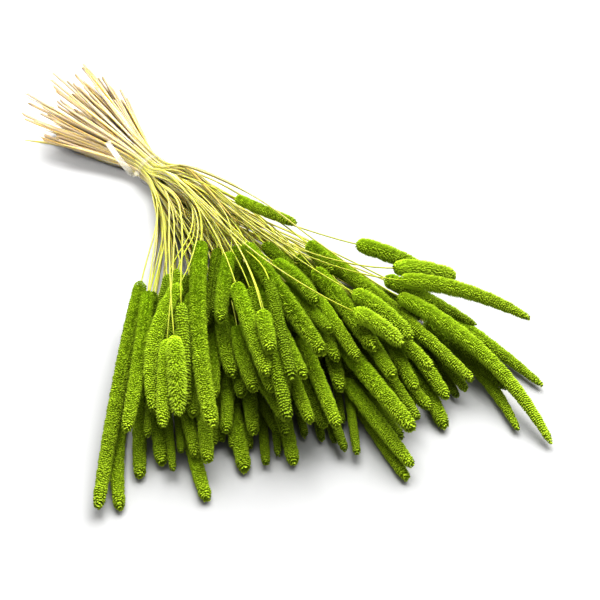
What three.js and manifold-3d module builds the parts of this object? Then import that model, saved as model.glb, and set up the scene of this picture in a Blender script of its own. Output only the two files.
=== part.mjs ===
// A bunch of dried timothy grass, dyed green, tied once round its stems and laid on a flat surface.
// Each stalk is one piece: a thin stem, cut at one end, that ends in a dense round spike.
// Units are millimetres. +Z is up, +X runs from the cut ends to the spikes, and the origin is on the
// surface, under the middle of the bunch.

import * as THREE from "three";
import { mergeVertices } from "three/addons/utils/BufferGeometryUtils.js";
import Module from "manifold-3d";

const wasm = await Module();
wasm.setup();

// Stalks, and the room that they leave between them
const STEM_RADIUS = 0.95;
const STALK_SIDES = 6;
const STEM_STEPS = 5;
const GAP = 0.3;
// Share of a spike's length, and of its radius there
const SPIKE_PROFILE = [
  [0, 0.24],
  [0.05, 0.8],
  [0.2, 1],
  [0.5, 1],
  [0.8, 0.94],
  [0.95, 0.68],
  [1, 0.22],
];

// The tie, and the stems inside it, in rows from the bottom up
const STEM_ROWS = [5, 6, 7, 8, 9, 8, 7, 6, 5];
const STEM_SPACING = 2.6;
const ROW_SPACING = STEM_SPACING * Math.sin(Math.PI / 3);
const WAIST_LENGTH = 9;
const TIE_RADIUS = 11.8;
const TIE_THICKNESS = 0.9;
const TIE_WIDTH = 5;
const TAIL_WIDTH = 4.4;
const TAIL_THICKNESS = 0.7;

// Cut ends: shortest and longest past the tie, how much longer they are on the far side, how far they
// turn from the bunch, and how they spread
const CUT_END_SHORT = 98;
const CUT_END_LONG = 150;
const CUT_END_SLANT = 0.16;
const CUT_END_TURN = THREE.MathUtils.degToRad(9);
const CUT_END_SPREAD = THREE.MathUtils.degToRad(19);
const CUT_END_RISE = THREE.MathUtils.degToRad(12);

// The view that the bunch was laid out in: a square of 600 units, seen from above one side
const VIEW_MIDDLE = 300;
const VIEW_FOCAL = 900;
const VIEW_HEIGHT = 336;
const VIEW_TILT = THREE.MathUtils.degToRad(35);
// Direction of the bunch on the surface, turned from straight towards the viewer
const BUNCH_TURN = THREE.MathUtils.degToRad(33);
const TIE_SPOT = { x: 153, y: 171 };
// The tail leaves the tie at this angle above its side, and goes on to these places in the view
const TAIL_ANGLE = THREE.MathUtils.degToRad(8);
const TAIL_SPOTS = [
  { x: 131, y: 173, height: 22 },
  { x: 120, y: 160, height: 31 },
  { x: 107, y: 142, height: 41 },
];

// Spikes in the order that they lie on each other, from the surface up. Each layer gives the heights of
// its spikes' bases and tips before they settle. A spike is its base and its tip in the view, how far
// its middle bows to the right of the line between them, and its thickness in millimetres.
const LAYERS = [
  {
    base: 8,
    tip: 0,
    spikes: [
      [132, 372, 120, 509, -8, 8.5],
      [150, 345, 140, 477, -4, 8.5],
      [184, 405, 207, 500, -2, 8],
      [226, 375, 245, 471, 0, 9.5],
      [272, 365, 294, 464, 0, 9],
      [337, 365, 408, 480, -2, 8.5],
      [345, 380, 412, 466, 0, 8.5],
      [405, 345, 445, 427, 0, 9.5],
      [425, 322, 518, 430, 9, 8.5],
      [430, 305, 543, 386, 2, 8.5],
      [150, 365, 162, 464, 2, 10],
    ],
  },
  {
    base: 24,
    tip: 0,
    spikes: [[141, 283, 98, 508, -2, 9]],
  },
  {
    base: 20,
    tip: 12,
    spikes: [
      [175, 360, 196, 456, 0, 8],
      [200, 370, 208, 462, 0, 8.5],
      [243, 345, 254, 434, 0, 8.5],
      [230, 345, 226, 432, 0, 8],
      [292, 350, 325, 427, 0, 8.5],
      [372, 350, 430, 408, 0, 9],
      [400, 328, 447, 398, 0, 9],
    ],
  },
  {
    base: 32,
    tip: 25,
    spikes: [
      [184, 325, 194, 416, -2, 8],
      [227, 315, 242, 396, 0, 8.5],
      [243, 350, 286, 419, 0, 8],
      [280, 335, 311, 422, -2, 8],
      [300, 335, 338, 427, 0, 8.5],
      [318, 300, 341, 390, 0, 9.5],
      [372, 310, 416, 390, 0, 9],
      [372, 312, 432, 369, 0, 9],
      [343, 345, 413, 430, 0, 10.5],
      [385, 278, 476, 325, 0, 9.5],
    ],
  },
  {
    base: 42,
    tip: 37,
    spikes: [
      [213, 315, 214, 397, 0, 8],
      [221, 312, 233, 376, -2, 9],
      [237, 327, 255, 390, -2, 9],
      [245, 320, 273, 391, 0, 8.5],
      [302, 285, 337, 360, 0, 8],
      [318, 298, 358, 359, 0, 8],
      [352, 312, 394, 378, 0, 9],
    ],
  },
  {
    base: 58,
    tip: 50,
    spikes: [[236, 198, 296, 223, -1, 7.5]],
  },
  {
    base: 42,
    tip: 37,
    spikes: [
      [356, 244, 425, 272, 3, 11],
      [194, 293, 176, 372, -3, 8.5],
      [148, 293, 126, 431, 2, 9],
    ],
  },
  {
    base: 46,
    tip: 22,
    spikes: [
      [179, 285, 156, 412, -14, 9],
      [167, 340, 163, 427, -1, 8],
      [174, 336, 178, 416, 1, 9],
      [201, 243, 213, 427, -8, 10.5],
    ],
  },
  {
    base: 50,
    tip: 46,
    spikes: [
      [230, 254, 221, 321, -2, 9],
      [285, 285, 331, 331, 0, 8],
      [247, 263, 304, 377, 0, 9],
      [236, 284, 267, 375, 0, 9.5],
      [245, 246, 323, 354, 1, 10.5],
      [262, 311, 271, 352, 0, 9],
      [274, 262, 316, 303, 4, 9.5],
    ],
  },
  {
    base: 48,
    tip: 18,
    spikes: [[320, 252, 473, 381, 3, 9.5]],
  },
  {
    base: 48,
    tip: 42,
    spikes: [
      [315, 270, 374, 349, 2, 11],
      [308, 244, 332, 273, 2, 11],
      [353, 311, 402, 345, 3, 10],
      [353, 292, 411, 339, 4, 10],
      [400, 280, 530, 319, 8, 9.5],
      [394, 268, 456, 277, 3, 11],
    ],
  },
  {
    base: 42,
    tip: 0,
    spikes: [[398, 296, 551, 443, 17, 9.5]],
  },
];

// How the stalks settle against each other: rounds at most, rounds in which a stem keeps its own
// curve, how strongly it does, how much of the gap may be missing at the end, and how easily stems and
// spikes give way
const SETTLE_ROUNDS = 600;
const STIFF_ROUNDS = 300;
const STEM_STIFFNESS = 0.2;
const CLOSE_ENOUGH = 0.05;
const STEM_GIVE = 1;
const SPIKE_GIVE = 0.4;
// Length of a stem's handles, as a share of the way from the tie to the spike, and how far the stems
// rise or sink where they leave the tie
const STEM_BEND = 0.36;
const STEM_BULGE = 0.9;

const SPIKE_GREEN = 0x7f9a1c;
const TIE_WHITE = 0xe9ebe4;

const UP = new THREE.Vector3(0, 0, 1);
const ALONG = new THREE.Vector3(Math.sin(BUNCH_TURN), -Math.cos(BUNCH_TURN), 0);
const ACROSS = new THREE.Vector3().crossVectors(ALONG, UP);
const VIEWER = new THREE.Vector3(0, 0, VIEW_HEIGHT);
const FLAT_SIDE = Math.cos(Math.PI / STALK_SIDES);
const GOLDEN = (Math.sqrt(5) - 1) / 2;

// The place at a given height that shows at (x, y) in the view.
function spot(x, y, height) {
  const across = (x - VIEW_MIDDLE) / VIEW_FOCAL;
  const down = (y - VIEW_MIDDLE) / VIEW_FOCAL;
  const reach = (VIEW_HEIGHT - height) / (Math.sin(VIEW_TILT) + down * Math.cos(VIEW_TILT));
  const away = reach * (Math.cos(VIEW_TILT) - down * Math.sin(VIEW_TILT));
  return new THREE.Vector3(reach * across, away, height);
}

// A closed body through rings of points that all have the same count, capped at both ends.
function loft(rings) {
  const sides = rings[0].length;
  const points = rings.flat();
  const triangles = [];
  for (let ring = 0; ring + 1 < rings.length; ring += 1) {
    for (let side = 0; side < sides; side += 1) {
      const next = (side + 1) % sides;
      const here = ring * sides;
      const ahead = here + sides;
      triangles.push(here + side, here + next, ahead + next);
      triangles.push(here + side, ahead + next, ahead + side);
    }
  }
  const last = points.length - sides;
  for (let side = 1; side + 1 < sides; side += 1) {
    triangles.push(0, side + 1, side);
    triangles.push(last, last + side, last + side + 1);
  }
  const geometry = new THREE.BufferGeometry().setFromPoints(points);
  geometry.setIndex(triangles);
  geometry.computeVertexNormals();
  return geometry;
}

// Directions along a row of points, each the mean of the lengths that meet there.
function directions(points) {
  return points.map((point, index) => {
    const before = points[Math.max(index - 1, 0)];
    const after = points[Math.min(index + 1, points.length - 1)];
    return new THREE.Vector3().subVectors(after, before).normalize();
  });
}

// A stalk's body: rings square to its chain of links, each with a flat side down.
function stalkBody(chain) {
  const ahead = directions(chain.map((link) => link.point));
  const rings = chain.map((link, index) => {
    const side = new THREE.Vector3().crossVectors(ahead[index], UP).normalize();
    const over = new THREE.Vector3().crossVectors(side, ahead[index]);
    return Array.from({ length: STALK_SIDES }, (unused, corner) => {
      const angle = ((corner + 0.5) / STALK_SIDES) * 2 * Math.PI - Math.PI / 2;
      return link.point
        .clone()
        .addScaledVector(side, -link.radius * Math.cos(angle))
        .addScaledVector(over, link.radius * Math.sin(angle));
    });
  });
  return loft(rings);
}

// A link is a point of a stalk's centre line, with its radius. Its freedom says how far it gives way when
// it is nudged.
function keepOnSurface(link) {
  link.point.z = Math.max(link.point.z, link.radius * FLAT_SIDE);
}

// The tie holds a fixed link where it is.
function fixedLink(point) {
  return { point, radius: STEM_RADIUS, freedom: 0, nudge() {} };
}

function stemLink(point) {
  const link = { point, radius: STEM_RADIUS, freedom: STEM_GIVE, bends: true };
  link.nudge = (push) => {
    point.addScaledVector(push, STEM_GIVE);
    keepOnSurface(link);
  };
  keepOnSurface(link);
  return link;
}

// The spike's centre line in the view, bowed to one side.
function spikeCurve([baseX, baseY, tipX, tipY, bow]) {
  const base = new THREE.Vector2(baseX, baseY);
  const tip = new THREE.Vector2(tipX, tipY);
  const way = new THREE.Vector2().subVectors(tip, base).normalize();
  const bend = new THREE.Vector2().addVectors(base, tip).multiplyScalar(0.5);
  bend.addScaledVector(new THREE.Vector2(way.y, -way.x), 2 * bow);
  return new THREE.QuadraticBezierCurve(base, bend, tip);
}

// Moves a place nearer to the viewer or further away, so that it shows where it did in the view.
function slide(place, push, share) {
  const sight = new THREE.Vector3().subVectors(VIEWER, place).normalize();
  place.addScaledVector(sight, share * push.dot(sight));
}

// A spike keeps its own curve: a nudge anywhere on it moves its base and its tip.
function spikeLinks(spike, baseHeight, tipHeight) {
  const curve = spikeCurve(spike);
  const thickness = spike[5];
  const places = SPIKE_PROFILE.map(([share]) => {
    const place = curve.getPoint(share);
    return spot(place.x, place.y, THREE.MathUtils.lerp(baseHeight, tipHeight, share));
  });
  const base = places[0].clone();
  const tip = places[places.length - 1].clone();
  const links = SPIKE_PROFILE.map(([share, width], index) => {
    const offset = places[index].clone().sub(new THREE.Vector3().lerpVectors(base, tip, share));
    const freedom = SPIKE_GIVE * ((1 - share) ** 2 + share ** 2);
    return { point: places[index], radius: (width * thickness) / 2, freedom, share, offset, isSpike: true };
  });
  const rest = (place) => {
    const short = (FLAT_SIDE * thickness) / 2 - place.z;
    const sight = new THREE.Vector3().subVectors(VIEWER, place);
    place.addScaledVector(sight, Math.max(0, short / sight.z));
  };
  const pose = () => {
    rest(base);
    rest(tip);
    links.forEach((link) => {
      link.point.lerpVectors(base, tip, link.share).add(link.offset);
      keepOnSurface(link);
    });
  };
  links.forEach((link) => {
    link.nudge = (push) => {
      slide(base, push, SPIKE_GIVE * (1 - link.share));
      slide(tip, push, SPIKE_GIVE * link.share);
      pose();
    };
  });
  pose();
  return links;
}

// The stem from its cut end, straight through the tie, to the spike's base.
function stemLinks(slot, spike) {
  const behind = slot.place.clone().addScaledVector(ALONG, -WAIST_LENGTH / 2);
  const before = slot.place.clone().addScaledVector(ALONG, WAIST_LENGTH / 2);
  const base = spike[0].point;
  const handle = STEM_BEND * before.distanceTo(base);
  const leaving = new THREE.Vector3().subVectors(base, before).normalize().add(ALONG);
  leaving.addScaledVector(UP, (STEM_BULGE * slot.offset.z) / TIE_RADIUS).normalize();
  const arriving = new THREE.Vector3().subVectors(spike[2].point, base).normalize();
  const stem = new THREE.CubicBezierCurve3(
    before,
    before.clone().addScaledVector(leaving, handle),
    base.clone().addScaledVector(arriving, -handle),
    base,
  );
  const links = [slot.cutEnd, behind, before].map(fixedLink);
  for (let step = 1; step < STEM_STEPS; step += 1) {
    links.push(stemLink(stem.getPoint(step / STEM_STEPS)));
  }
  return links;
}

// Where a link of a stem lies between its neighbours: the stem's own curve.
function ownBend(chain, index) {
  const before = chain[index - 1].point;
  const after = chain[index + 1].point;
  const near = chain[index].point.distanceTo(before);
  const share = near / (near + chain[index].point.distanceTo(after));
  const offset = chain[index].point.clone().sub(new THREE.Vector3().lerpVectors(before, after, share));
  return { share, offset };
}

// Draws a stem back towards its own curve.
function straighten(stalk, stiffness) {
  stalk.chain.forEach((link, index) => {
    if (link.bends) {
      const { share, offset } = stalk.ownBends[index];
      const before = stalk.chain[index - 1].point;
      const after = stalk.chain[index + 1].point;
      link.point.lerp(new THREE.Vector3().lerpVectors(before, after, share).add(offset), stiffness);
      keepOnSurface(link);
    }
  });
}

const oneLine = new THREE.Line3();
const otherLine = new THREE.Line3();
const onOne = new THREE.Vector3();
const onOther = new THREE.Vector3();
const between = new THREE.Vector3();
const sight = new THREE.Vector3();
const push = new THREE.Vector3();

// Nudges two lengths apart where they are closer than the gap, and returns how much they were too close.
function pushApart([start, end], [otherStart, otherEnd]) {
  oneLine.set(start.point, end.point);
  otherLine.set(otherStart.point, otherEnd.point);
  oneLine.distanceSqToLine3(otherLine, onOne, onOther);
  const share = oneLine.closestPointToPointParameter(onOne, true);
  const otherShare = otherLine.closestPointToPointParameter(onOther, true);
  const radius = THREE.MathUtils.lerp(start.radius, end.radius, share);
  const otherRadius = THREE.MathUtils.lerp(otherStart.radius, otherEnd.radius, otherShare);
  between.subVectors(onOne, onOther);
  const reach = radius + otherRadius + GAP;
  const overlap = reach - between.length();
  if (overlap <= 0) {
    return 0;
  }
  if (start.isSpike && otherStart.isSpike) {
    sight.subVectors(VIEWER, onOther).normalize();
    const behind = -between.dot(sight);
    const aside = between.lengthSq() - behind ** 2;
    between.copy(sight).multiplyScalar(behind - Math.sqrt(reach ** 2 - aside));
  } else {
    between.normalize().multiplyScalar(overlap);
  }
  const parts = [
    [start, 1 - share],
    [end, share],
    [otherStart, otherShare - 1],
    [otherEnd, -otherShare],
  ];
  const freedom = parts.reduce((sum, [link, part]) => sum + link.freedom * part ** 2, 0);
  if (freedom > 0) {
    between.divideScalar(freedom);
    parts.forEach(([link, part]) => link.nudge(push.copy(between).multiplyScalar(part)));
  }
  return overlap;
}

const oneMiddle = new THREE.Vector3();
const otherMiddle = new THREE.Vector3();

// Whether two lengths are close enough to need a closer look.
function areNear([start, end], [otherStart, otherEnd]) {
  oneMiddle.addVectors(start.point, end.point).multiplyScalar(0.5);
  otherMiddle.addVectors(otherStart.point, otherEnd.point).multiplyScalar(0.5);
  const reach =
    start.point.distanceTo(oneMiddle) +
    otherStart.point.distanceTo(otherMiddle) +
    Math.max(start.radius, end.radius) +
    Math.max(otherStart.radius, otherEnd.radius) +
    GAP;
  return oneMiddle.distanceToSquared(otherMiddle) < reach * reach;
}

// Nudges all lengths of two stalks apart, and returns how much the worst of them were too close.
function separate(lengths, otherLengths) {
  let worst = 0;
  for (const one of lengths) {
    for (const other of otherLengths) {
      if (areNear(one, other)) {
        worst = Math.max(worst, pushApart(one, other));
      }
    }
  }
  return worst;
}

// Lets the stalks settle against each other until each keeps the gap to all others.
function settle(stalks) {
  const lengths = stalks.map(({ chain }) => chain.slice(1).map((end, index) => [chain[index], end]));
  for (let round = 0; round < SETTLE_ROUNDS; round += 1) {
    const stiffness = STEM_STIFFNESS * Math.max(0, 1 - round / STIFF_ROUNDS);
    stalks.forEach((stalk) => straighten(stalk, stiffness));
    let worst = 0;
    for (let first = 0; first < lengths.length; first += 1) {
      for (let second = first + 1; second < lengths.length; second += 1) {
        worst = Math.max(worst, separate(lengths[first], lengths[second]));
      }
    }
    if (stiffness === 0 && worst < CLOSE_ENOUGH) {
      return;
    }
  }
}

// Where each stem goes through the tie, row by row, and where its cut end is.
function tieSlots(tieMiddle) {
  const slots = [];
  STEM_ROWS.forEach((count, row) => {
    for (let place = 0; place < count; place += 1) {
      const aside = (place - (count - 1) / 2) * STEM_SPACING;
      const height = (row - (STEM_ROWS.length - 1) / 2) * ROW_SPACING;
      const offset = ACROSS.clone().multiplyScalar(aside).addScaledVector(UP, height);
      const centre = tieMiddle.clone().add(offset);
      const turn = CUT_END_TURN + (aside / TIE_RADIUS) * CUT_END_SPREAD;
      const rise = (row / (STEM_ROWS.length - 1)) * CUT_END_RISE;
      const share = (slots.length * GOLDEN) % 1;
      const slant = 1 - (aside / TIE_RADIUS) * CUT_END_SLANT;
      const reach = slant * THREE.MathUtils.lerp(CUT_END_SHORT, CUT_END_LONG, share);
      const cutEnd = centre
        .clone()
        .addScaledVector(ALONG, -reach * Math.cos(turn))
        .addScaledVector(ACROSS, reach * Math.sin(turn))
        .addScaledVector(UP, reach * Math.tan(rise));
      slots.push({ offset, place: centre, cutEnd });
    }
  });
  return slots;
}

// Stalks in their order take the tie's rows from the bottom up, and each row from one side to the other.
function placeInTie(stalks, tieMiddle) {
  const slots = tieSlots(tieMiddle);
  const side = (stalk) => {
    const toBase = spot(stalk.spike[0], stalk.spike[1], stalk.base).sub(tieMiddle);
    return Math.atan2(toBase.dot(ACROSS), toBase.dot(ALONG));
  };
  let first = 0;
  STEM_ROWS.forEach((count) => {
    const inRow = stalks.slice(first, first + count);
    inRow.sort((one, other) => side(one) - side(other));
    inRow.forEach((stalk, index) => {
      stalk.slot = slots[first + index];
    });
    first += count;
  });
}

function solid(geometry) {
  const bare = geometry.clone();
  bare.deleteAttribute("normal");
  bare.deleteAttribute("uv");
  const merged = mergeVertices(bare);
  const vertProperties = new Float32Array(merged.attributes.position.array);
  const triVerts = new Uint32Array(merged.index.array);
  return new wasm.Manifold(new wasm.Mesh({ numProp: 3, vertProperties, triVerts }));
}

function geometryOf(manifold) {
  const mesh = manifold.getMesh();
  const geometry = new THREE.BufferGeometry();
  geometry.setAttribute("position", new THREE.BufferAttribute(mesh.vertProperties, 3));
  geometry.setIndex(new THREE.BufferAttribute(mesh.triVerts, 1));
  geometry.computeVertexNormals();
  return geometry;
}

// The band round the stems.
function tieBand(tieMiddle) {
  const outline = new THREE.Shape().absarc(0, 0, TIE_RADIUS + TIE_THICKNESS, 0, 2 * Math.PI);
  outline.holes.push(new THREE.Path().absarc(0, 0, TIE_RADIUS, 0, 2 * Math.PI, true));
  const band = new THREE.ExtrudeGeometry(outline, {
    depth: TIE_WIDTH,
    bevelEnabled: false,
    curveSegments: 12,
  });
  band.translate(0, 0, -TIE_WIDTH / 2);
  const frame = new THREE.Matrix4().makeBasis(ACROSS.clone().negate(), UP, ALONG);
  frame.setPosition(tieMiddle);
  return band.applyMatrix4(frame);
}

// The free tail: a flat strip that starts in the band and lies over the cut ends.
function tieTail(tieMiddle) {
  const start = tieMiddle
    .clone()
    .addScaledVector(ACROSS, (TIE_RADIUS + TIE_THICKNESS / 2) * Math.cos(TAIL_ANGLE))
    .addScaledVector(UP, (TIE_RADIUS + TIE_THICKNESS / 2) * Math.sin(TAIL_ANGLE));
  const points = [start, ...TAIL_SPOTS.map((place) => spot(place.x, place.y, place.height))];
  const ahead = directions(points);
  const towardsViewer = new THREE.Vector3(0, -Math.cos(VIEW_TILT), Math.sin(VIEW_TILT));
  const rings = points.map((point, index) => {
    const side = new THREE.Vector3().crossVectors(ahead[index], towardsViewer).normalize();
    const out = new THREE.Vector3().crossVectors(side, ahead[index]);
    const corner = (across, through) => {
      return point
        .clone()
        .addScaledVector(side, (across * TAIL_WIDTH) / 2)
        .addScaledVector(out, (through * TAIL_THICKNESS) / 2);
    };
    return [corner(-1, -1), corner(-1, 1), corner(1, 1), corner(1, -1)];
  });
  return loft(rings);
}

function stalkMesh(chain, number) {
  const material = new THREE.MeshStandardMaterial({ color: SPIKE_GREEN, roughness: 0.85, metalness: 0 });
  const mesh = new THREE.Mesh(stalkBody(chain), material);
  mesh.name = `stalk_${String(number).padStart(2, "0")}`;
  return mesh;
}

function tieMesh(tieMiddle) {
  const material = new THREE.MeshStandardMaterial({ color: TIE_WHITE, roughness: 0.4, metalness: 0 });
  const body = solid(tieBand(tieMiddle)).add(solid(tieTail(tieMiddle)));
  const mesh = new THREE.Mesh(geometryOf(body), material);
  mesh.name = "tie";
  return mesh;
}

function makeBunch() {
  const tieMiddle = spot(TIE_SPOT.x, TIE_SPOT.y, TIE_RADIUS + TIE_THICKNESS);
  const stalks = LAYERS.flatMap(({ spikes, base, tip }) => {
    return spikes.map((spike) => ({ spike, base, tip }));
  });
  placeInTie(stalks, tieMiddle);
  stalks.forEach((stalk) => {
    const spike = spikeLinks(stalk.spike, stalk.base, stalk.tip);
    stalk.chain = [...stemLinks(stalk.slot, spike), ...spike];
    stalk.ownBends = stalk.chain.map((link, index) => link.bends && ownBend(stalk.chain, index));
  });
  settle(stalks);

  const layout = new THREE.Group();
  layout.rotation.z = Math.PI / 2 - BUNCH_TURN;
  stalks.forEach((stalk, index) => layout.add(stalkMesh(stalk.chain, index + 1)));
  layout.add(tieMesh(tieMiddle));

  const bunch = new THREE.Group();
  bunch.add(layout);
  const box = new THREE.Box3().setFromObject(bunch, true);
  const middle = box.getCenter(new THREE.Vector3());
  layout.position.set(-middle.x, -middle.y, -box.min.z);
  return bunch;
}

export default makeBunch();
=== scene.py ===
import math

import bpy
import numpy as np
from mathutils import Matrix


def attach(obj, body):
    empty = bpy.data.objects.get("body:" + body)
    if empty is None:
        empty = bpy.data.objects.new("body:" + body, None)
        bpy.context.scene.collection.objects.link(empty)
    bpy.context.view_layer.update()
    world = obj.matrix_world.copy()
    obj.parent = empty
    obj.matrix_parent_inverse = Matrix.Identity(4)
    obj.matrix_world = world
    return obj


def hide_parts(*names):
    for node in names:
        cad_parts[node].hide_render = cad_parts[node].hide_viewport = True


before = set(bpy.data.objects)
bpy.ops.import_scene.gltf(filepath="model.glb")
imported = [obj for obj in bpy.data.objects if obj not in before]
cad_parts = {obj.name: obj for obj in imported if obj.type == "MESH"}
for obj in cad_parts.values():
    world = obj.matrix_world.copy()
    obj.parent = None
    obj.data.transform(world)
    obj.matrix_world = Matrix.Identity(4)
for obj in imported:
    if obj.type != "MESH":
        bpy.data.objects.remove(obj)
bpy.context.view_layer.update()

MM = 0.001
UP = np.array([0.0, 0.0, 1.0])
ALONG = np.array([1.0, 0.0, 0.0])
FRAME_STEP = 0.3 * MM

# The photograph's view: a square of 600 units, seen from this point
VIEW_POINT = np.array([0.48626, -0.20527, 0.336])
VIEW_TURN = math.radians(57)
VIEW_TILT = math.radians(35)
VIEW_MIDDLE = 300
VIEW_FOCAL = 900
VIEW_RIGHT = np.array([math.cos(VIEW_TURN), math.sin(VIEW_TURN), 0])
VIEW_LEVEL = np.array([-math.sin(VIEW_TURN), math.cos(VIEW_TURN), 0])
VIEW_AHEAD = VIEW_LEVEL * math.cos(VIEW_TILT) - UP * math.sin(VIEW_TILT)
VIEW_ABOVE = VIEW_LEVEL * math.sin(VIEW_TILT) + UP * math.cos(VIEW_TILT)
SENSOR_WIDTH = 36
NEAR_LIMIT = 0.01

# A stalk's rings, counted from its cut end
SIDES = 6
TIE_RING = 2
SPIKE_RING = 7
FULL_RING = 10
SPIKE_SHARES = np.array([0, 0.05, 0.2, 0.5, 0.8, 0.95, 1])
SPIKE_WIDTHS = np.array([0.24, 0.8, 1, 1, 0.94, 0.68, 0.22])

# Stem radius at the cut end, in the tie, a little past it and below the spike
STEM_RADII = np.array([1.15, 0.95, 0.56, 0.38]) * MM
EXTRA_STEM_RADII = np.array([1.1, 0.8, 0.7, 0.42]) * MM
THINNING_SHARE = 0.3
STEM_STEP = 7 * MM
LEAST_STEM_RINGS = 8
STEM_SIDES = 7
STEM_IN_SPIKE = 3 * MM
CUT_SLANT = 2.2 * MM

# Joints on a stem: where they may be along it, rings round each one, its length and how much it swells
JOINT_PLACES = [(0.08, 0.24), (0.42, 0.8)]
JOINT_STEPS = np.array([-2.2, -0.9, 0, 0.9, 2.2]) * MM
JOINT_LENGTH = 1.1 * MM
JOINT_SWELL = 0.3

# Dry leaves, with widths in mm: sheaths by the cut ends, and narrow blades before the spikes
SHEATH_SHARE = 0.95
SHEATH_STARTS = (0.55, 0.85)
SHEATH_ENDS = (-0.06, 0.2)
SHEATH_WIDTHS = (3, 5.6)
BLADE_SHARE = 0.55
BLADE_STARTS = (0.02, 0.2)
BLADE_LENGTHS = (0.3, 0.55)
BLADE_WIDTHS = (1.8, 3.2)
LEAF_STEPS = 9
LEAF_CORNERS = 4
LEAF_GAP = 0.9 * MM
LEAF_THICKNESS = 0.15 * MM
LEAF_CURL = 0.4
LEAF_FLARE = 2 * MM

# One long leaf that lies low beside the cut ends: places in the photograph and heights in mm
LOW_LEAF_STALK = "grass_stalk_01"
LOW_LEAF_SPOTS = [(125, 166, 9), (95, 155, 7), (60, 145, 5), (20, 140, 3)]
LOW_LEAF_WIDTH = 4 * MM

# Spikelets stand in rings on the core of the spike, rooted just under its skin
CORE_SHARE = 0.76
CORE_RINGS = 24
CORE_SIDES = 8
ROOT_SHARE = CORE_SHARE * 0.97
RING_PITCHES = np.array([0.95, 1.25]) * MM
FIRST_RING = 0.4 * MM
LAST_RING = 0.3 * MM
SPIKELET_WIDTHS = np.array([1.0, 1.3]) * MM
LEAST_SPIKELETS = 6
SPIKELET_REACH = 0.95
SPIKELET_LENGTHS = np.array([0.8, 2.4]) * MM
ROOT_FRONT = 0.6
ROOT_BACK = 0.9
ROOT_GROWTH = 0.15
HIDDEN_COARSENESS = 1.4

# Lean of a spikelet in degrees: at the base of the spike, what its length adds, and what the round tip adds
BASE_LEAN = 30
LENGTH_LEAN = 10
TIP_LEAN = 40
TIP_LEAN_POWER = 1.5
LEAST_COSINE = 0.5

# How uneven the spikelets are: turn round the spike, wave and places of a ring in mm, which grow in the last
# stretch of the spike, then lean, sideways lean, length and half width
PHASES = (0, 6)
TURN_SPREAD = 0.12
WAVES = 3
WAVE_DRIFT = 0.5
WAVE_HEIGHT = 0.25
PLACE_SPREAD = 0.24
RAGGED_SPREAD = 0.4
RAGGED_STRETCH = 2.5
LEAN_SPREAD = 0.2
SIDE_SPREAD = 0.3
LENGTH_SPREAD = (0.8, 1.2)
HALF_WIDTHS = (0.5, 0.62)

# Widths along a blunt spike and along a tapered one, and how tapered a few of the stalks are
WIDTH_SHARES = np.array([0, 0.15, 0.4, 0.75, 1])
BLUNT_WIDTHS = np.array([0.92, 1.0, 1.02, 0.98, 0.86])
TAPERED_WIDTHS = np.array([0.98, 1.14, 1.08, 0.8, 0.4])
TAPERS = {"stalk_09": 1, "stalk_10": 1, "stalk_29": 1, "stalk_57": 1, "stalk_59": 1, "stalk_52": 0.5,
          "stalk_06": 0.5, "stalk_07": 0.3, "stalk_12": 0.35, "stalk_01": 0.35, "stalk_40": 0.3}
USUAL_TAPER = 0.15

# Lengths of the round base and tip in radii of the spike, its lumps as height and length, least radius
BASE_ROUNDING = 0.9
TIP_ROUNDING = 1.35
LUMPS = [(0.03, 1.7 * MM), (0.02, 0.9 * MM)]
LEAST_RADIUS = 0.2 * MM

# How much longer the bristles of two stalks are, and how that changes along the spike
LONG_BRISTLES = {"stalk_43": 1.0, "stalk_49": 0.5}
BRISTLE_SHARES = [0, 0.3, 0.6, 1]
BRISTLE_GAINS = [0.2, 0.6, 1, 0]

# Tie
TIE_SPOT = (153, 171)
TIE_RADIUS = 11.8 * MM
TIE_THICKNESS = 0.9 * MM
TIE_WIDTH = 5 * MM
TIE_TURNS = (-0.35, 2 * math.pi + 0.1)
TIE_STEPS = 73
TIE_SWAY = 0.6 * MM
TIE_LIFT = 0.7 * MM
LIFT_TURNS = (5.8, 6.4)
STRIP_SIDES = 12
STRIP_ROUNDNESS = 0.5
TAIL_WIDTH = 4.4 * MM
TAIL_THICKNESS = 0.7 * MM
TAIL_ANGLE = math.radians(8)
TAIL_STEPS = 24
BAND_ALPHA = 0.12
TAIL_ALPHA = 0.38
TAIL_SPOTS = [(131, 173, 22), (120, 160, 31), (107, 142, 41)]

# Stalks that show between the solid ones: base and tip of what shows, width, greatest height in mm
SHOWING_STALKS = [
    (156, 350, 147, 436, 10, 16),
    (215, 425, 215, 444, 9, 14),
    (203, 422, 206, 437, 10, 14),
    (264, 440, 266, 464, 11, 9),
    (264, 408, 277, 432, 11, 20),
    (283, 383, 290, 403, 11, 24),
    (281, 355, 290, 376, 12, 32),
    (338, 395, 343, 423, 8, 18),
    (347, 360, 353, 385, 9, 24),
    (337, 428, 345, 450, 11, 9),
    (353, 425, 357, 454, 10, 9),
    (344, 325, 356, 341, 14, 36),
    (385, 420, 402, 438, 15, 14),
    (395, 340, 406, 354, 12, 34),
    (398, 385, 414, 404, 12, 24),
    (402, 395, 418, 419, 14, 18),
    (442, 372, 457, 396, 11, 12),
    (445, 362, 466, 390, 12, 18),
    (455, 340, 508, 388, 16, 14),
    (168, 418, 173, 470, 9, 9),
    (178, 410, 181, 452, 9, 12),
    (222, 415, 222, 441, 9, 8),
    (231, 418, 232, 447, 9, 8),
    (248, 425, 250, 448, 9, 8),
    (276, 430, 278, 455, 9, 8),
    (300, 412, 305, 436, 10, 8),
    (316, 414, 322, 440, 10, 8),
    (328, 418, 335, 442, 9, 8),
    (212, 250, 209, 345, 12, 40),
    (262, 280, 312, 353, 14, 44),
]
SHOWING_LENGTH = 50 * MM

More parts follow.
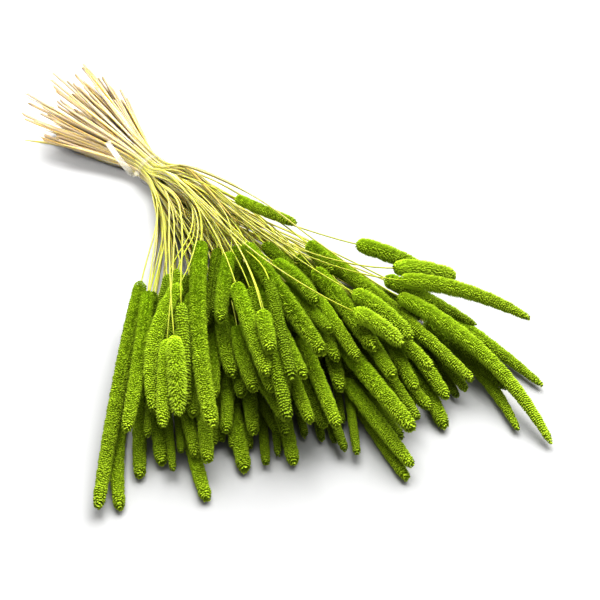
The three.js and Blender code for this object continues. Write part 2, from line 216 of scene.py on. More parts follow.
# Heights tried for their tips, in mm, how far a base is tried above its tip, and how much of that shows
LEAST_TIP_HEIGHT = 3.5
TIP_HEIGHT_STEP = 1.5
BASE_RISES = np.arange(-2, 12, 2) * MM
RISE_SHARE = 0.4
FLOOR_SINK = 0.9

# The most stalks low in the pile and inside it, how far they may press into others, and how many tries
MOST_FLOOR_STALKS = 42
MOST_HIDDEN_STALKS = 48
LEAST_ROOM = -1 * MM
MOST_TRIES = 4000
BALLS = 12

# Ranges in mm for a spike inside the pile: aside from a solid one, back along it, below it, length, radius
INNER_ASIDE = (-12, 12)
INNER_BACK = (4, 34)
INNER_BELOW = (6, 16)
INNER_LENGTHS = (55, 80)
INNER_RADII = (3.6, 4.6)

# Ranges in mm for a spike low in the pile: aside from a solid tip and back along it, heights, length, radius
LOW_ASIDE = (-15, 15)
LOW_BACK = (6, 60)
LOW_TIP_HEIGHTS = (4, 8)
LOW_BASE_HEIGHTS = (5, 16)
LOW_LENGTHS = (55, 75)
LOW_RADII = (3.6, 4.4)

# Ways from a solid stem to the gaps beside it, in mm
STEM_GAPS = [(0, 0, 1.5), (0, 1.4, -0.5)]

# How far the cut ends of those stalks are from the solid ones, how much shorter and how low they are, and how
# late their stems part from the solid ones
END_SPREAD = 7 * MM
END_SHORTENING = (0, 0.25)
LEAST_END_HEIGHT = 3.5 * MM
PARTING_POWER = 1.5

# Tints of the stalks on the outside of the bunch, of three at the left and of those inside the pile; past 0.6
# a tint darkens the spike as painted shade
OUTER_TINTS = (0, 0.6)
SHADED_TINTS = (0.62, 0.7)
SHADED_STALKS = ["stalk_01", "stalk_02", "stalk_12"]
SHADED_INNER_TINTS = (0.75, 1)

# First numbers of the random draws
PLACE_SEED = 4
SOLID_SEED = 100
EXTRA_SEED = 300

# Studio: soft light from all round and the photograph's contrast, then lights, each with its place, target,
# size, power and spread in degrees
SOFT_LIGHT = 0.9
CONTRAST_GAMMA = 0.75
BACK_LIGHT = ((-1.3, 2, 6), (0, 0, 0), 7.5, 1650, 180)
END_LIGHT = ((-0.05, -0.35, 0.35), (-0.2, 0, 0.02), 0.25, 0.75, 65)
FLOOR_RADIUS = 0.9
FLOOR_SIDES = 64

# Outline of the dense pile in the photograph, which hides what lies inside it
DENSE_PILE = [(130, 310), (190, 250), (250, 240), (330, 262), (400, 290), (440, 330), (448, 375),
              (420, 420), (345, 446), (250, 450), (195, 450), (150, 425)]


def unit(vectors):
    return vectors / np.linalg.norm(vectors, axis=-1, keepdims=True)


def sight(x, y):
    """Direction from the camera through a place in the photograph."""
    across = VIEW_RIGHT * (x - VIEW_MIDDLE) / VIEW_FOCAL
    return VIEW_AHEAD + across + VIEW_ABOVE * (VIEW_MIDDLE - y) / VIEW_FOCAL


def spot(x, y, height):
    """The place at that height which shows there in the photograph."""
    ray = sight(x, y)
    return VIEW_POINT + ray * (height - VIEW_POINT[2]) / ray[2]


def size_at(place, units):
    """Real size of something at that place that is so many units wide in the photograph."""
    return units * np.dot(place - VIEW_POINT, VIEW_AHEAD) / VIEW_FOCAL


def shown_at(place):
    """Where a place shows in the photograph."""
    away = place - VIEW_POINT
    scale = VIEW_FOCAL / np.dot(away, VIEW_AHEAD)
    return VIEW_MIDDLE + np.dot(away, VIEW_RIGHT) * scale, VIEW_MIDDLE - np.dot(away, VIEW_ABOVE) * scale


def in_pile(place):
    """Whether a place shows inside the outline of the dense pile."""
    x, y = shown_at(place)
    inside = False
    for (x1, y1), (x2, y2) in zip(DENSE_PILE, DENSE_PILE[1:] + DENSE_PILE[:1]):
        if (y1 > y) != (y2 > y) and x < x1 + (y - y1) * (x2 - x1) / (y2 - y1):
            inside = not inside
    return inside


class Path:
    """A smooth curve through points, read by length along it."""

    def __init__(self, points):
        self.points = np.asarray(points)
        steps = np.linalg.norm(np.diff(self.points, axis=0), axis=1)
        self.lengths = np.concatenate([[0], np.cumsum(steps)])
        self.slopes = np.gradient(self.points, self.lengths, axis=0)

    def at(self, where):
        where = np.asarray(where, dtype=float)
        index = np.clip(np.searchsorted(self.lengths, where) - 1, 0, len(self.lengths) - 2)
        start = self.lengths[index]
        span = (self.lengths[index + 1] - start)[:, None]
        share = (where - start)[:, None] / span
        from_start = (1 + 2 * share) * (1 - share) ** 2 * self.points[index]
        to_end = share ** 2 * (3 - 2 * share) * self.points[index + 1]
        bend_start = share * (1 - share) ** 2 * span * self.slopes[index]
        bend_end = share ** 2 * (share - 1) * span * self.slopes[index + 1]
        return from_start + to_end + bend_start + bend_end

    def frames(self, where):
        """Places, directions ahead, and two directions across."""
        where = np.asarray(where, dtype=float)
        ahead = unit(self.at(where + FRAME_STEP) - self.at(where - FRAME_STEP))
        side = unit(np.cross(ahead, UP))
        return self.at(where), ahead, side, np.cross(side, ahead)


class Shape:
    """Triangles with what the materials read at each corner."""

    def __init__(self):
        self.places = []
        self.growth = []
        self.triangles = []
        self.materials = []
        self.count = 0

    def add(self, places, growth, triangles, material):
        places = np.asarray(places).reshape(-1, 3)
        triangles = np.asarray(triangles).reshape(-1, 3)
        self.places.append(places)
        self.growth.append(np.asarray(growth).reshape(-1, 4))
        self.triangles.append(triangles + self.count)
        self.materials.append(np.full(len(triangles), material))
        self.count += len(places)

    def make(self, name, materials, tint_and_shade, smooth):
        places = np.concatenate(self.places)
        triangles = np.concatenate(self.triangles)
        mesh = bpy.data.meshes.new(name)
        mesh.vertices.add(len(places))
        mesh.vertices.foreach_set("co", places.ravel())
        mesh.loops.add(triangles.size)
        mesh.loops.foreach_set("vertex_index", triangles.ravel().astype(np.int32))
        mesh.polygons.add(len(triangles))
        mesh.polygons.foreach_set("loop_start", np.arange(0, triangles.size, 3, dtype=np.int32))
        for material in materials:
            mesh.materials.append(material)
        which = np.concatenate(self.materials)
        mesh.polygons.foreach_set("material_index", which.astype(np.int32))
        mesh.polygons.foreach_set("use_smooth", np.isin(which, smooth))
        growth = mesh.attributes.new("growth", "FLOAT_COLOR", "POINT")
        growth.data.foreach_set("color", np.concatenate(self.growth).ravel())
        tints_and_shades = mesh.attributes.new("tint_and_shade", "FLOAT", "POINT")
        tints_and_shades.data.foreach_set("value", np.full(len(places), tint_and_shade))
        mesh.update(calc_edges=True)
        piece = bpy.data.objects.new(name, mesh)
        bpy.context.scene.collection.objects.link(piece)
        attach(piece, "root")
        return piece


def skin(rows, sides):
    """Triangles of a tube of that many rings, with its two ends closed."""
    ring = np.arange(sides)
    after = np.roll(ring, -1)
    start = (np.arange(rows - 1) * sides)[:, None]
    first = np.stack([start + ring, start + after, start + sides + after], axis=-1)
    second = np.stack([start + ring, start + sides + after, start + sides + ring], axis=-1)
    fan = np.arange(1, sides - 1)
    near = np.stack([np.zeros_like(fan), fan + 1, fan], axis=-1)
    far = np.stack([np.zeros_like(fan), fan, fan + 1], axis=-1) + (rows - 1) * sides
    return np.concatenate([first.reshape(-1, 3), second.reshape(-1, 3), near, far])


def around(path, where, radii, sides):
    """Rings of points round a path."""
    places, ahead, side, above = path.frames(where)
    turns = np.arange(sides) * 2 * math.pi / sides
    out = side[:, None] * np.cos(turns)[:, None] + above[:, None] * np.sin(turns)[:, None]
    return places[:, None] + out * np.asarray(radii)[:, None, None]


def read_stalk(node):
    """Centres and radii of a stalk's rings, from the cut end to the tip of the spike."""
    mesh = node.data
    places = np.empty(len(mesh.vertices) * 3)
    mesh.vertices.foreach_get("co", places)
    corners, index = np.unique(places.reshape(-1, 3).round(6), axis=0, return_inverse=True)
    pairs = np.empty(len(mesh.edges) * 2, dtype=np.int32)
    mesh.edges.foreach_get("vertices", pairs)
    pairs = index.ravel()[pairs].reshape(-1, 2)
    ring = np.argsort(corners[:, 0])[:SIDES]
    seen = np.zeros(len(corners), dtype=bool)
    centres = []
    radii = []
    while len(ring):
        seen[ring] = True
        centre = corners[ring].mean(axis=0)
        centres.append(centre)
        radii.append(np.linalg.norm(corners[ring] - centre, axis=1).mean())
        touching = pairs[np.isin(pairs, ring).any(axis=1)].ravel()
        ring = np.unique(touching[~seen[touching]])
    return np.array(centres), np.array(radii)


def spike_samples(centres, radii):
    """Balls along a spike, to see what is near it."""
    path = Path(centres[SPIKE_RING:])
    where = np.linspace(0, path.lengths[-1], BALLS)
    return path.at(where), np.interp(where, path.lengths, radii[SPIKE_RING:])


def straight_spike(base, tip, radius):
    """Centres and radii of a straight spike's rings."""
    centres = base + (tip - base) * SPIKE_SHARES[:, None]
    return centres, SPIKE_WIDTHS * radius


def straight_samples(base, tip, radius):
    """Balls along a straight spike."""
    share = np.linspace(0, 1, BALLS)
    places = base + (tip - base) * share[:, None]
    return places, np.interp(share, SPIKE_SHARES, SPIKE_WIDTHS) * radius


def room(base, tip, radius, balls):
    """The smallest gap between a new spike and those already there."""
    places, radii = straight_samples(base, tip, radius)
    apart = np.linalg.norm(places[:, None] - balls[0][None], axis=2)
    return (apart - radii[:, None] - balls[1][None]).min()


def add_balls(balls, base, tip, radius):
    """The balls already there, with those of a new spike."""
    places, radii = straight_samples(base, tip, radius)
    return np.concatenate([balls[0], places]), np.concatenate([balls[1], radii])


def beside(stalks, free, base, tip, radius, chance):
    """A stalk with that spike, whose stem goes through a gap beside the nearest stem."""
    nearest = min(free, key=lambda gap: np.linalg.norm(stalks[gap[0]][0][SPIKE_RING] - base))
    free.remove(nearest)
    centres = stalks[nearest[0]][0].copy()
    radii = stalks[nearest[0]][1].copy()
    shift = np.array(nearest[1]) * MM
    centres[0] += (centres[1] - centres[0]) * chance.uniform(*END_SHORTENING)
    centres[0] += np.array([0, *chance.uniform(-END_SPREAD, END_SPREAD, 2)])
    centres[0][2] = max(centres[0][2], LEAST_END_HEIGHT)
    shares = np.clip((np.arange(SPIKE_RING + 1) - TIE_RING) / (SPIKE_RING - TIE_RING), 0, 1)
    offsets = shift + (base - centres[SPIKE_RING] - shift) * (shares ** PARTING_POWER)[:, None]
    centres[:SPIKE_RING + 1] += offsets
    centres[SPIKE_RING:], radii[SPIKE_RING:] = straight_spike(base, tip, radius)
    return centres, radii


def showing_place(row, balls):
    """The place along the line of sight where a showing spike has most room."""
    base_x, base_y, tip_x, tip_y, width, height = row
    best = None
    for tip_height in np.arange(LEAST_TIP_HEIGHT, height, TIP_HEIGHT_STEP) * MM:
        for rise in BASE_RISES:
            tip = spot(tip_x, tip_y, tip_height)
            radius = size_at(tip, width) / 2
            towards = unit(spot(base_x, base_y, tip_height + rise * RISE_SHARE) - tip)
            base = tip + towards * SHOWING_LENGTH
            if min(tip[2], base[2]) < radius * FLOOR_SINK:
                continue
            gap = room(base, tip, radius, balls)
            if best is None or gap > best[0]:
                best = (gap, base, tip, radius)
    return best[1:]


def inner_place(stalks, chance):
    """A try for a spike inside the pile, under a solid one."""
    centres, _ = stalks[chance.integers(len(stalks))]
    ahead = unit(centres[-1] - centres[SPIKE_RING])
    side = unit(np.cross(ahead, UP))
    shift = side * chance.uniform(*INNER_ASIDE) * MM - ahead * chance.uniform(*INNER_BACK) * MM
    base = centres[SPIKE_RING] + shift - UP * chance.uniform(*INNER_BELOW) * MM
    tip = base + ahead * chance.uniform(*INNER_LENGTHS) * MM
    return base, tip, chance.uniform(*INNER_RADII) * MM


def floor_place(stalks, chance):
    """A try for a spike low in the pile."""
    centres, _ = stalks[chance.integers(len(stalks))]
    ahead = unit((centres[-1] - centres[SPIKE_RING]) * np.array([1, 1, 0]))
    side = np.cross(ahead, UP)
    tip = centres[-1] + side * chance.uniform(*LOW_ASIDE) * MM - ahead * chance.uniform(*LOW_BACK) * MM
    tip[2] = chance.uniform(*LOW_TIP_HEIGHTS) * MM
    base = tip - ahead * chance.uniform(*LOW_LENGTHS) * MM
    base[2] = chance.uniform(*LOW_BASE_HEIGHTS) * MM
    return base, tip, chance.uniform(*LOW_RADII) * MM


def place_extras(stalks):
    """Stalks past the solid ones: those that show between them, then those inside the pile."""
    chance = np.random.default_rng(PLACE_SEED)
    samples = [spike_samples(*stalk) for stalk in stalks]
    balls = (np.concatenate([s[0] for s in samples]), np.concatenate([s[1] for s in samples]))
    free = [(number, shift) for shift in STEM_GAPS for number in range(len(stalks))]
    extras = []
    for row in SHOWING_STALKS:
        base, tip, radius = showing_place(row, balls)
        extras.append(beside(stalks, free, base, tip, radius, chance))
        balls = add_balls(balls, base, tip, radius)
    for left, place in ((MOST_FLOOR_STALKS, floor_place), (MOST_HIDDEN_STALKS, inner_place)):
        for _ in range(MOST_TRIES):
            base, tip, radius = place(stalks, chance)
            if min(base[2], tip[2]) < radius or not in_pile(tip) or not in_pile(base):
                continue
            if room(base, tip, radius, balls) > LEAST_ROOM:
                left -= 1
                extras.append(beside(stalks, free, base, tip, radius, chance))
                balls = add_balls(balls, base, tip, radius)
            if not left or not free:
                break
    return extras


def add_stem(shape, path, end, radii, chance):
    """The straw, from its slanting cut to inside the spike, with a joint or two on it."""
    count = max(int(end / STEM_STEP), LEAST_STEM_RINGS)
    where = np.linspace(0, end, count)
    joints = [chance.uniform(*shares) * end for shares in JOINT_PLACES]
    near_joints = np.concatenate([j + JOINT_STEPS for j in joints])
    where = np.unique(np.concatenate([where, near_joints]))
    tie = path.lengths[TIE_RING]
    sizes = np.interp(where, [0, tie, tie + THINNING_SHARE * (end - tie), end], radii)
    swell = sum(np.exp(-(((where - j) / JOINT_LENGTH) ** 2)) for j in joints)
    rings = around(path, where, sizes * (1 + JOINT_SWELL * swell), STEM_SIDES)
    slant = np.cos(np.arange(STEM_SIDES) * 2 * math.pi / STEM_SIDES + chance.uniform(*PHASES))
    rings[0] += path.frames([0])[1][0] * (slant * CUT_SLANT)[:, None]
    rings[..., 2] = np.maximum(rings[..., 2], 0)
    growth = np.zeros((len(where), STEM_SIDES, 4))
    growth[..., 0] = (where / end)[:, None]
    growth[..., 3] = swell[:, None]
    shape.add(rings, growth, skin(len(where), STEM_SIDES), 0)


def add_leaf(shape, path, stem_end, start, end, width, flare, turn):
    """A dry leaf, which hugs the stem at its start and leaves it to end in a point."""
    share = np.linspace(0, 1, LEAF_STEPS)
    places, ahead, side, above = path.frames(start + (end - start) * share)
    out = side * math.cos(turn) + above * math.sin(turn)
    across = np.cross(ahead, out)
    away = (LEAF_GAP + flare * share ** 2)[:, None]
    half = (width / 2 * np.minimum(1, 0.5 + 2 * share) * (1 - share ** 3) + LEAF_THICKNESS)[:, None]
    middle = places + out * away
    edge = out * half * LEAF_CURL
    rings = np.stack([
        middle - across * half - edge,
        middle + out * LEAF_THICKNESS,
        middle + across * half - edge,
        middle - out * LEAF_THICKNESS,
    ], axis=1)
    rings[..., 2] = np.maximum(rings[..., 2], LEAF_THICKNESS)
    growth = np.zeros((LEAF_STEPS, LEAF_CORNERS, 4))
    growth[..., 0] = ((start + (end - start) * share) / stem_end)[:, None]
    growth[..., 1] = 1
    growth[..., 2] = share[:, None]
    shape.add(rings, growth, skin(LEAF_STEPS, LEAF_CORNERS), 0)


def add_spike(shape, path, start, radius_at, coarseness, bristles, chance):
    """A core painted dark as shade between the spikelets, and rings of small pointed spikelets that lean
    towards the tip.
    """
    end = path.lengths[-1]
    where = np.linspace(start, end, CORE_RINGS)
    core = radius_at(where) * CORE_SHARE
    growth = np.zeros((CORE_RINGS, CORE_SIDES, 4))
    growth[..., 1] = ((where - start) / (end - start))[:, None]
    shape.add(around(path, where, core, CORE_SIDES), growth, skin(CORE_RINGS, CORE_SIDES), 1)

    rows = []
    row = start + FIRST_RING
    while row < end - LAST_RING:
        rows.append(row)
        row += np.interp(row, [start, end], RING_PITCHES) * coarseness
    rows = np.array(rows)
    sizes = radius_at(rows)
    widths = np.interp(rows, [start, end], SPIKELET_WIDTHS) * coarseness
    counts = np.maximum((2 * math.pi * sizes / widths).astype(int), LEAST_SPIKELETS)
    row = np.repeat(np.arange(len(rows)), counts)
    turn = np.concatenate([(np.arange(n) + chance.uniform(0, 1)) * 2 * math.pi / n for n in counts])
    turn = turn + chance.uniform(-TURN_SPREAD, TURN_SPREAD, len(turn))
    wave = np.sin(WAVES * turn + chance.uniform(*PHASES) + WAVE_DRIFT * row)
    share = ((rows - start) / (end - start))[row]
    ragged = 1 - np.clip((end - rows[row]) / (RAGGED_STRETCH * sizes.max()), 0, 1)
    jitter = (PLACE_SPREAD + RAGGED_SPREAD * ragged) * chance.uniform(-1, 1, len(row))
    along = rows[row] + (WAVE_HEIGHT * wave + jitter) * MM
    places, ahead, side, above = path.frames(along)
    out = side * np.cos(turn)[:, None] + above * np.sin(turn)[:, None]
    across = np.cross(ahead, out)
    size = sizes[row]
    width = widths[row]
    near_tip = 1 - np.clip((end - along) / (TIP_ROUNDING * sizes.max()), 0, 1)
    lean = np.radians(BASE_LEAN + LENGTH_LEAN * share + TIP_LEAN * near_tip ** TIP_LEAN_POWER)
    lean = lean + chance.uniform(-LEAN_SPREAD, LEAN_SPREAD, len(row))
    point = out * np.cos(lean)[:, None] + ahead * np.sin(lean)[:, None]
    point = unit(point + across * chance.uniform(-SIDE_SPREAD, SIDE_SPREAD, len(row))[:, None])
    reach = size * (SPIKELET_REACH - ROOT_SHARE) / np.maximum(np.cos(lean), LEAST_COSINE)
    reach = np.clip(reach * chance.uniform(*LENGTH_SPREAD, len(row)), *SPIKELET_LENGTHS)
    reach = (reach * (1 + bristles * np.interp(share, BRISTLE_SHARES, BRISTLE_GAINS)))[:, None]
    half = (width * chance.uniform(*HALF_WIDTHS, len(row)))[:, None]
    root = places + out * (size * ROOT_SHARE)[:, None]
    corners = np.stack([
        root - across * half + ahead * half * ROOT_FRONT,
        root - ahead * half * ROOT_BACK,
        root + across * half + ahead * half * ROOT_FRONT,
        root + point * reach,
    ], axis=1)
    corners[..., 2] = np.maximum(corners[..., 2], 0)
    growth = np.zeros((len(row), 4, 4))
    growth[..., 1] = share[:, None]
    growth[..., 2] = np.array([ROOT_GROWTH, ROOT_GROWTH, ROOT_GROWTH, 1])
    growth[..., 3] = chance.uniform(0, 1, len(row))[:, None]
    faces = np.array([[0, 1, 3], [1, 2, 3], [2, 0, 3]])
    triangles = (np.arange(len(row)) * 4)[:, None, None] + faces
    shape.add(corners, growth, triangles, 1)


def make_stalk(name, centres, radii, stem_radii, coarseness, taper, bristles, tints_and_shades, seed, materials):
    """One whole stalk: stem, dry leaves and spike."""
    chance = np.random.default_rng(seed)
    path = Path(centres)
    start = path.lengths[SPIKE_RING]
    end = path.lengths[-1]
    tie = path.lengths[TIE_RING]
    full = radii[FULL_RING]
    shape = Shape()
    stem_end = start + STEM_IN_SPIKE
    add_stem(shape, path, stem_end, stem_radii, chance)
    if chance.uniform() < SHEATH_SHARE:
        begin = tie * chance.uniform(*SHEATH_STARTS)
        width = chance.uniform(*SHEATH_WIDTHS) * MM
        turn = chance.uniform(0, 2 * math.pi)
        finish = chance.uniform(*SHEATH_ENDS) * tie
        add_leaf(shape, path, stem_end, begin, finish, width, LEAF_FLARE, turn)
    if chance.uniform() < BLADE_SHARE:
        begin = tie + chance.uniform(*BLADE_STARTS) * (start - tie)
        finish = begin + chance.uniform(*BLADE_LENGTHS) * (start - tie)
        turn = chance.uniform(0, 2 * math.pi)
        width = chance.uniform(*BLADE_WIDTHS) * MM
        add_leaf(shape, path, stem_end, begin, finish, width, LEAF_FLARE, turn)
    if name == LOW_LEAF_STALK:
        leaf = Path([spot(x, y, height * MM) for x, y, height in LOW_LEAF_SPOTS])
        add_leaf(shape, leaf, leaf.lengths[-1], leaf.lengths[0], leaf.lengths[-1], LOW_LEAF_WIDTH, 0, 0)
    phases = chance.uniform(*PHASES, len(LUMPS))
    widths = BLUNT_WIDTHS + (TAPERED_WIDTHS - BLUNT_WIDTHS) * taper

    def radius_at(where):
        share = (where - start) / (end - start)
        body = np.interp(share, WIDTH_SHARES, widths)
        round_base = 1 - np.clip((where - start) / (BASE_ROUNDING * full), 0, 1)
        round_tip = 1 - np.clip((end - where) / (TIP_ROUNDING * full), 0, 1)
        lumps = 1
        for (height, length), phase in zip(LUMPS, phases):
            lumps = lumps + height * np.sin(where / length + phase)
        return full * body * lumps * np.sqrt((1 - round_base ** 2) * (1 - round_tip ** 2)) + LEAST_RADIUS

    add_spike(shape, path, start, radius_at, coarseness, bristles, chance)
    piece = shape.make(name, materials, chance.uniform(*tints_and_shades), [0])
    return piece


def node_tree(name):
    """A new material, with its nodes, links and shader."""
    material = bpy.data.materials.new(name)
    material.use_nodes = True
    nodes = material.node_tree.nodes
    return material, nodes, material.node_tree.links, nodes["Principled BSDF"]


def ramp(nodes, links, value, stops):
    """A colour ramp read by a value."""
    node = nodes.new("ShaderNodeValToRGB")
    elements = node.color_ramp.elements
    while len(elements) < len(stops):
        elements.new(0.5)
    for element, (place, colour) in zip(elements, stops):
        element.position = place
        element.color = (*colour, 1)
    links.new(value, node.inputs["Fac"])
    return node.outputs["Color"]


def blend(nodes, links, factor, first, second, way="MIX"):
    """Two colours mixed, each given as a colour or as a socket."""
    node = nodes.new("ShaderNodeMix")
    node.data_type = "RGBA"
    node.blend_type = way
    for socket, value in (("Factor", factor), ("A", first), ("B", second)):
        target = [i for i in node.inputs if i.name == socket and i.enabled][0]
        if isinstance(value, (int, float)):
            target.default_value = value
        elif isinstance(value, tuple):
            target.default_value = (*value, 1)
        else:
            links.new(value, target)
    return [o for o in node.outputs if o.enabled][0]


def scaled(nodes, links, value, low, high, start=0, end=1):
    """A value taken from one range to another."""
    node = nodes.new("ShaderNodeMapRange")
    links.new(value, node.inputs["Value"])
    node.inputs["From Min"].default_value = start
    node.inputs["From Max"].default_value = end
    node.inputs["To Min"].default_value = low
    node.inputs["To Max"].default_value = high
    return node.outputs["Result"]


def noise(nodes, links, scale, stretch=(1, 1, 1)):
    """Soft noise fixed to the object."""
    coordinates = nodes.new("ShaderNodeTexCoord")
    mapping = nodes.new("ShaderNodeMapping")
    mapping.inputs["Scale"].default_value = stretch
    links.new(coordinates.outputs["Object"], mapping.inputs["Vector"])
    node = nodes.new("ShaderNodeTexNoise")
    node.inputs["Scale"].default_value = scale
    node.inputs["Detail"].default_value = 3
    links.new(mapping.outputs["Vector"], node.inputs["Vector"])
    return node.outputs["Fac"]


def growth_values(nodes, links):
    """Along the stem; along the spike or a leaf's mark; up a spikelet or leaf; joint or random mark; own
    tint, which also paints shade on spikes.
    """
    growth = nodes.new("ShaderNodeAttribute")
    growth.attribute_name = "growth"
    parts = nodes.new("ShaderNodeSeparateColor")
    links.new(growth.outputs["Color"], parts.inputs["Color"])
    tint_and_shade = nodes.new("ShaderNodeAttribute")
    tint_and_shade.attribute_name = "tint_and_shade"
    values = [parts.outputs["Red"], parts.outputs["Green"], parts.outputs["Blue"]]
    return [*values, growth.outputs["Alpha"], tint_and_shade.outputs["Fac"]]


def stem_material():
    material, nodes, links, shader = node_tree("stem_straw")
    stem, leaf, _, joint, tint_and_shade = growth_values(nodes, links)
    pale = ramp(nodes, links, stem, [
        (0.0, (0.285, 0.25, 0.205)),
        (0.26, (0.285, 0.25, 0.19)),
        (0.42, (0.351, 0.328, 0.157)),
        (0.8, (0.351, 0.328, 0.162)),
        (1.0, (0.294, 0.328, 0.043)),
    ])
    dull = ramp(nodes, links, stem, [
        (0.0, (0.342, 0.237, 0.114)),
        (0.22, (0.323, 0.252, 0.114)),
        (0.4, (0.342, 0.337, 0.019)),
        (1.0, (0.285, 0.332, 0.0)),
    ])
    streaks = noise(nodes, links, 60, (0.35, 2, 2))
    colour = blend(nodes, links, scaled(nodes, links, streaks, 0.0, 0.45), pale, dull)
    colour = blend(nodes, links, scaled(nodes, links, tint_and_shade, 0.0, 0.4), colour, dull)
    dry = ramp(nodes, links, tint_and_shade, [
        (0.0, (0.36, 0.31, 0.235)),
        (0.6, (0.345, 0.275, 0.185)),
        (1.0, (0.3, 0.18, 0.06)),
    ])
    dry = blend(nodes, links, scaled(nodes, links, streaks, 0.0, 0.5), dry, dull)
    colour = blend(nodes, links, leaf, colour, dry)
    colour = blend(nodes, links, scaled(nodes, links, joint, 0.0, 0.6), colour, (0.33, 0.24, 0.07))
    links.new(colour, shader.inputs["Base Color"])
    links.new(scaled(nodes, links, streaks, 0.4, 0.65), shader.inputs["Roughness"])
    shader.inputs["Specular IOR Level"].default_value = 0.2
    shader.inputs["Subsurface Weight"].default_value = 0.75
    shader.inputs["Subsurface Radius"].default_value = (1, 0.85, 0.2)
    shader.inputs["Subsurface Scale"].default_value = 2 * MM
    return material


def spike_material():
    material, nodes, links, shader = node_tree("spike_bristle")
    _, spike, height, mark, tint_and_shade = growth_values(nodes, links)
    # Up a spikelet: the core, at 0, is painted dark as shade in the gaps between spikelets; roots and tips
    # differ little
    base = ramp(nodes, links, height, [
        (0.0, (0.255, 0.365, 0.008)),
        (0.14, (0.368, 0.515, 0.017)),
        (0.4, (0.372, 0.515, 0.02)),
        (1.0, (0.377, 0.51, 0.036)),
    ])
    tip = ramp(nodes, links, height, [
        (0.0, (0.105, 0.16, 0.0)),
        (0.14, (0.305, 0.41, 0.013)),
        (0.4, (0.335, 0.445, 0.027)),
        (1.0, (0.365, 0.465, 0.06)),
    ])
    colour = blend(nodes, links, spike, base, tip)
    olive = blend(nodes, links, 1.0, colour, (0.8, 0.76, 0.6), "MULTIPLY")
    colour = blend(nodes, links, scaled(nodes, links, tint_and_shade, 0.0, 0.5), colour, olive)
    # Tints from 0.6 to 0.9 darken the spike step by step as painted shade
    painted_shade = blend(nodes, links, 1.0, colour, (0.52, 0.56, 0.46), "MULTIPLY")
    colour = blend(nodes, links, scaled(nodes, links, tint_and_shade, 0.0, 1.0, 0.6, 0.9), colour, painted_shade)
    patches = noise(nodes, links, 90)
    colour = blend(nodes, links, scaled(nodes, links, patches, 0.0, 0.4), colour, olive)
    dark = blend(nodes, links, 1.0, colour, (0.6, 0.66, 0.5), "MULTIPLY")
    colour = blend(nodes, links, scaled(nodes, links, mark, 0.0, 0.2), colour, dark)
    links.new(colour, shader.inputs["Base Color"])
    links.new(scaled(nodes, links, patches, 0.5, 0.75), shader.inputs["Roughness"])
    shader.inputs["Specular IOR Level"].default_value = 0.12
    return material


def tie_material(name, alpha):
    material, nodes, links, shader = node_tree(name)
    cloudy = noise(nodes, links, 140)
    colour = blend(nodes, links, cloudy, (0.46, 0.44, 0.39), (0.38, 0.37, 0.33))
    links.new(colour, shader.inputs["Base Color"])
    links.new(scaled(nodes, links, cloudy, 0.2, 0.4), shader.inputs["Roughness"])
    shader.inputs["Alpha"].default_value = alpha
    shader.inputs["Coat Weight"].default_value = 0.4
    return material


def make_tie(materials):
    """A strip once round the stems, overlapping itself, with a free straight tail."""
    middle = spot(*TIE_SPOT, TIE_RADIUS + TIE_THICKNESS)
    shape = Shape()
    turns = np.linspace(*TIE_TURNS, TIE_STEPS)
    corner = np.arange(STRIP_SIDES) * 2 * math.pi / STRIP_SIDES
    across = np.sign(np.cos(corner)) * np.abs(np.cos(corner)) ** STRIP_ROUNDNESS * TIE_WIDTH / 2
    through = np.sign(np.sin(corner)) * np.abs(np.sin(corner)) ** STRIP_ROUNDNESS * TIE_THICKNESS / 2
    lift = np.interp(turns, LIFT_TURNS, [0, TIE_LIFT])
    sway = TIE_SWAY * np.sin(turns * 2 + 0.7)
    radius = TIE_RADIUS + TIE_THICKNESS / 2 + lift
    out = np.stack([np.zeros_like(turns), -np.cos(turns + TAIL_ANGLE), np.sin(turns + TAIL_ANGLE)], axis=1)
    centre = middle + out * radius[:, None] + ALONG * sway[:, None]
    rings = centre[:, None] + ALONG * across[:, None] + out[:, None] * through[:, None]
    growth = np.zeros((TIE_STEPS, STRIP_SIDES, 4))
    shape.add(rings, growth, skin(TIE_STEPS, STRIP_SIDES), 0)

    away = np.array([0, -math.cos(TAIL_ANGLE), math.sin(TAIL_ANGLE)])
    start = middle + away * (TIE_RADIUS + TIE_THICKNESS)
    path = Path([start, *[spot(x, y, height * MM) for x, y, height in TAIL_SPOTS]])
    where = np.linspace(0, path.lengths[-1], TAIL_STEPS)
    places, ahead, _, _ = path.frames(where)
    wide = unit(np.cross(ahead, -VIEW_AHEAD))
    thin = np.cross(wide, ahead)
    across = across * TAIL_WIDTH / TIE_WIDTH
    through = through * TAIL_THICKNESS / TIE_THICKNESS
    rings = places[:, None] + wide[:, None] * across[:, None] + thin[:, None] * through[:, None]
    growth = np.zeros((TAIL_STEPS, STRIP_SIDES, 4))
    shape.add(rings, growth, skin(TAIL_STEPS, STRIP_SIDES), 1)
    piece = shape.make("tie_strip", materials, 0.5, [0, 1])
    return piece


def add_camera():
    data = bpy.data.cameras.new("camera")
    data.sensor_width = SENSOR_WIDTH
    data.lens = SENSOR_WIDTH * VIEW_FOCAL / (2 * VIEW_MIDDLE)
    data.clip_start = NEAR_LIMIT
    camera = bpy.data.objects.new("camera", data)
    camera.location = VIEW_POINT
    camera.rotation_euler = (math.pi / 2 - VIEW_TILT, 0, VIEW_TURN)
    bpy.context.scene.collection.objects.link(camera)
    bpy.context.scene.camera = camera


def add_light(name, place, target, size, power, spread):
    data = bpy.data.lights.new(name, "AREA")
    data.shape = "DISK"
    data.size = size
    data.energy = power
    data.spread = math.radians(spread)
    light = bpy.data.objects.new(name, data)
    light.location = place
    direction = np.subtract(target, place)
    light.rotation_euler = (math.acos(-direction[2] / np.linalg.norm(direction)), 0,
                            math.atan2(direction[1], direction[0]) - math.pi / 2)
    bpy.context.scene.collection.objects.link(light)


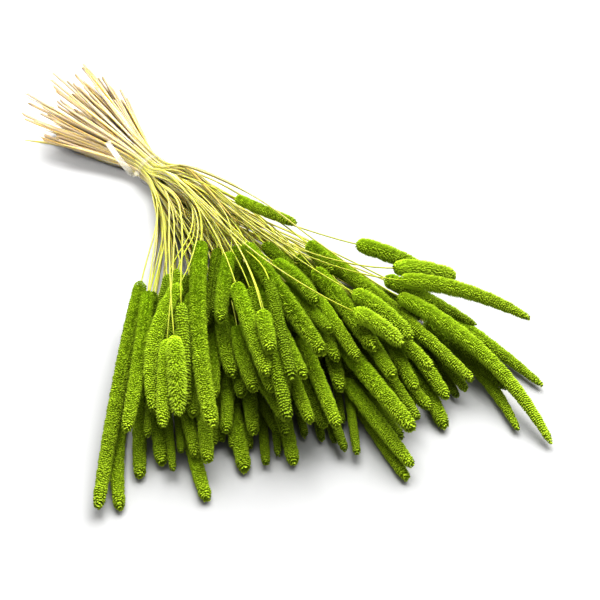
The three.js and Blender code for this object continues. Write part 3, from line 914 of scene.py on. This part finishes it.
def add_studio():
    world = bpy.data.worlds.new("studio")
    world.use_nodes = True
    nodes = world.node_tree.nodes
    links = world.node_tree.links
    background = nodes["Background"]
    background.inputs["Color"].default_value = (1, 1, 1, 1)
    seen = nodes.new("ShaderNodeLightPath")
    strength = scaled(nodes, links, seen.outputs["Is Camera Ray"], SOFT_LIGHT, 1)
    links.new(strength, background.inputs["Strength"])
    bpy.context.scene.world = world
    bpy.context.scene.view_settings.view_transform = "Standard"
    bpy.context.scene.view_settings.gamma = CONTRAST_GAMMA
    add_light("back_box", *BACK_LIGHT)
    add_light("end_box", *END_LIGHT)

    mesh = bpy.data.meshes.new("floor")
    turns = np.arange(FLOOR_SIDES) * 2 * math.pi / FLOOR_SIDES
    rim = np.stack([np.cos(turns), np.sin(turns), np.zeros(FLOOR_SIDES)], axis=1) * FLOOR_RADIUS
    mesh.from_pydata(rim.tolist(), [], [list(range(FLOOR_SIDES))])
    floor = bpy.data.objects.new("floor", mesh)
    bpy.context.scene.collection.objects.link(floor)
    material, nodes, links, shader = node_tree("white_floor")
    grain = noise(nodes, links, 3)
    colour = blend(nodes, links, grain, (0.31, 0.31, 0.31), (0.3, 0.3, 0.3))
    links.new(colour, shader.inputs["Base Color"])
    shader.inputs["Roughness"].default_value = 0.9
    shader.inputs["Specular IOR Level"].default_value = 0.0
    mesh.materials.append(material)


add_camera()
add_studio()
grass = [stem_material(), spike_material()]
names = sorted(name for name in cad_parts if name.startswith("stalk"))
solid_stalks = [read_stalk(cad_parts[name]) for name in names]
for number, (name, stalk) in enumerate(zip(names, solid_stalks)):
    taper = TAPERS.get(name, USUAL_TAPER)
    bristles = LONG_BRISTLES.get(name, 0)
    # The three stalks at the left take tints that paint a little shade on their spikes
    tints_and_shades = SHADED_TINTS if name in SHADED_STALKS else OUTER_TINTS
    seed = SOLID_SEED + number
    piece = make_stalk(f"grass_{name}", *stalk, STEM_RADII, 1, taper, bristles, tints_and_shades, seed, grass)
    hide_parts(name)
for number, stalk in enumerate(place_extras(solid_stalks)):
    coarseness = 1 if number < len(SHOWING_STALKS) else HIDDEN_COARSENESS
    name = f"grass_extra_{number + 1:02d}"
    seed = EXTRA_SEED + number
    # Stalks inside the pile take tints that paint shade on their spikes
    make_stalk(name, *stalk, EXTRA_STEM_RADII, coarseness, USUAL_TAPER, 0, SHADED_INNER_TINTS, seed, grass)
tie = make_tie([tie_material("tie_band", BAND_ALPHA), tie_material("tie_tail", TAIL_ALPHA)])
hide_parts("tie")
